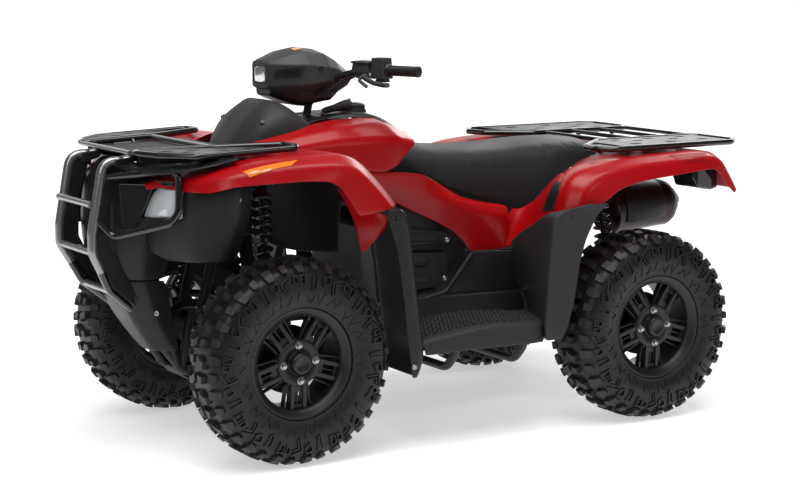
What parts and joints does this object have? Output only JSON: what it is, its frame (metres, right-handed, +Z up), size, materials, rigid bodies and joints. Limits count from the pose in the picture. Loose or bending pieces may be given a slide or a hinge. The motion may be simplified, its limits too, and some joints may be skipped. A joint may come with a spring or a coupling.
{
  "type": "quad bike",
  "caption": "Four-wheeled utility quad bike with knobbly tyres, steered front wheels, straddle seat, footwells, tubular front guard and load racks over both axles.",
  "frame": {"origin": "on the ground under the middle of the bounding box", "axes": "+X forward, +Y to the machine's left, +Z up"},
  "size_m": [2.292, 1.208, 1.235],
  "materials": {
    "tyre_rubber": "matt ribbed rubber",
    "rim_black": "satin black paint on cast aluminium",
    "frame_black": "satin black powder coat",
    "rack_black": "gloss black powder coat",
    "guard_grey": "bright satin grey front tubes",
    "red_panel": "gloss red moulded plastic",
    "charcoal_plastic": "fine grained charcoal moulded plastic",
    "black_plastic": "semi gloss black moulded plastic",
    "seat_vinyl": "black grained vinyl",
    "cast_alloy": "dark cast alloy",
    "exhaust_steel": "heat stained steel",
    "arm_steel": "satin black paint",
    "lamp_clear": "clear lens",
    "red_lens": "red lens",
    "grip_rubber": "moulded black rubber"
  },
  "bodies": {
    "chassis": {"cowl": "charcoal_plastic", "engine": "cast_alloy", "engine_covers": "cast_alloy", "exhaust": "exhaust_steel", "footwell_left": "charcoal_plastic", "footwell_right": "charcoal_plastic", "frame": "frame_black", "front_arms": "arm_steel", "front_deck": "black_plastic", "front_fascia": "black_plastic", "front_fender_left": "red_panel", "front_fender_right": "red_panel", "front_guard": "guard_grey", "front_lower_cover": "black_plastic", "front_rack": "rack_black", "front_shrouds": "black_plastic", "gear_lever": "arm_steel", "gearcases": "cast_alloy", "half_shafts": "arm_steel", "headlamps": "lamp_clear", "hitch_plate": "frame_black", "rear_arms": "arm_steel", "rear_deck": "black_plastic", "rear_fender_left": "red_panel", "rear_fender_right": "red_panel", "rear_rack": "rack_black", "seat": "seat_vinyl", "shocks": "arm_steel", "side_panels": "red_panel", "skid_plate": "frame_black", "tail_lamps": "red_lens", "tank_cover": "red_panel", "tank_top": "black_plastic"},
    "steering": {"handlebar": "arm_steel", "grips": "grip_rubber", "bar_controls": "black_plastic", "head_pod": "charcoal_plastic", "pod_lamp": "lamp_clear", "steering_shaft": "arm_steel"},
    "knuckle_left": {"knuckle_left": "arm_steel"},
    "knuckle_right": {"knuckle_right": "arm_steel"},
    "tie_rod_left": {"tie_rod_left": "arm_steel"},
    "tie_rod_right": {"tie_rod_right": "arm_steel"},
    "wheel_front_left": {"tyre_front_left": "tyre_rubber", "rim_front_left": "rim_black"},
    "wheel_front_right": {"tyre_front_right": "tyre_rubber", "rim_front_right": "rim_black"},
    "wheel_rear_left": {"tyre_rear_left": "tyre_rubber", "rim_rear_left": "rim_black"},
    "wheel_rear_right": {"tyre_rear_right": "tyre_rubber", "rim_rear_right": "rim_black"}
  },
  "joints": [
    {"name": "steering_turn", "type": "hinge", "parent": "chassis", "child": "steering", "pos_m": [0.5, 0, 0.285], "axis": [-0.2311, 0, 0.9729], "range_deg": [-30, 30]},
    {"name": "knuckle_left_turn", "type": "hinge", "parent": "chassis", "child": "knuckle_left", "pos_m": [0.632, 0.38, 0.317], "axis": [0, 0, 1], "range_deg": [-30, 30]},
    {"name": "tie_rod_left_turn", "type": "hinge", "parent": "knuckle_left", "child": "tie_rod_left", "pos_m": [0.546, 0.3496, 0.3], "axis": [0, 0, 1], "range_deg": [-30, 30]},
    {"name": "wheel_front_left_spin", "type": "hinge", "parent": "knuckle_left", "child": "wheel_front_left", "pos_m": [0.632, 0.446, 0.317], "axis": [0, 1, 0], "continuous": true},
    {"name": "wheel_rear_left_spin", "type": "hinge", "parent": "chassis", "child": "wheel_rear_left", "pos_m": [-0.665, 0.488, 0.313], "axis": [0, 1, 0], "continuous": true},
    {"name": "knuckle_right_turn", "type": "hinge", "parent": "chassis", "child": "knuckle_right", "pos_m": [0.632, -0.38, 0.317], "axis": [0, 0, 1], "range_deg": [-30, 30]},
    {"name": "tie_rod_right_turn", "type": "hinge", "parent": "knuckle_right", "child": "tie_rod_right", "pos_m": [0.546, -0.3496, 0.3], "axis": [0, 0, 1], "range_deg": [-30, 30]},
    {"name": "wheel_front_right_spin", "type": "hinge", "parent": "knuckle_right", "child": "wheel_front_right", "pos_m": [0.632, -0.446, 0.317], "axis": [0, 1, 0], "continuous": true},
    {"name": "wheel_rear_right_spin", "type": "hinge", "parent": "chassis", "child": "wheel_rear_right", "pos_m": [-0.665, -0.488, 0.313], "axis": [0, 1, 0], "continuous": true}
  ],
  "couplings": [
    {"joint": "knuckle_left_turn", "follows": "steering_turn", "ratio": 1},
    {"joint": "knuckle_right_turn", "follows": "steering_turn", "ratio": 1},
    {"joint": "tie_rod_left_turn", "follows": "steering_turn", "ratio": -1},
    {"joint": "tie_rod_right_turn", "follows": "steering_turn", "ratio": -1}
  ]
}
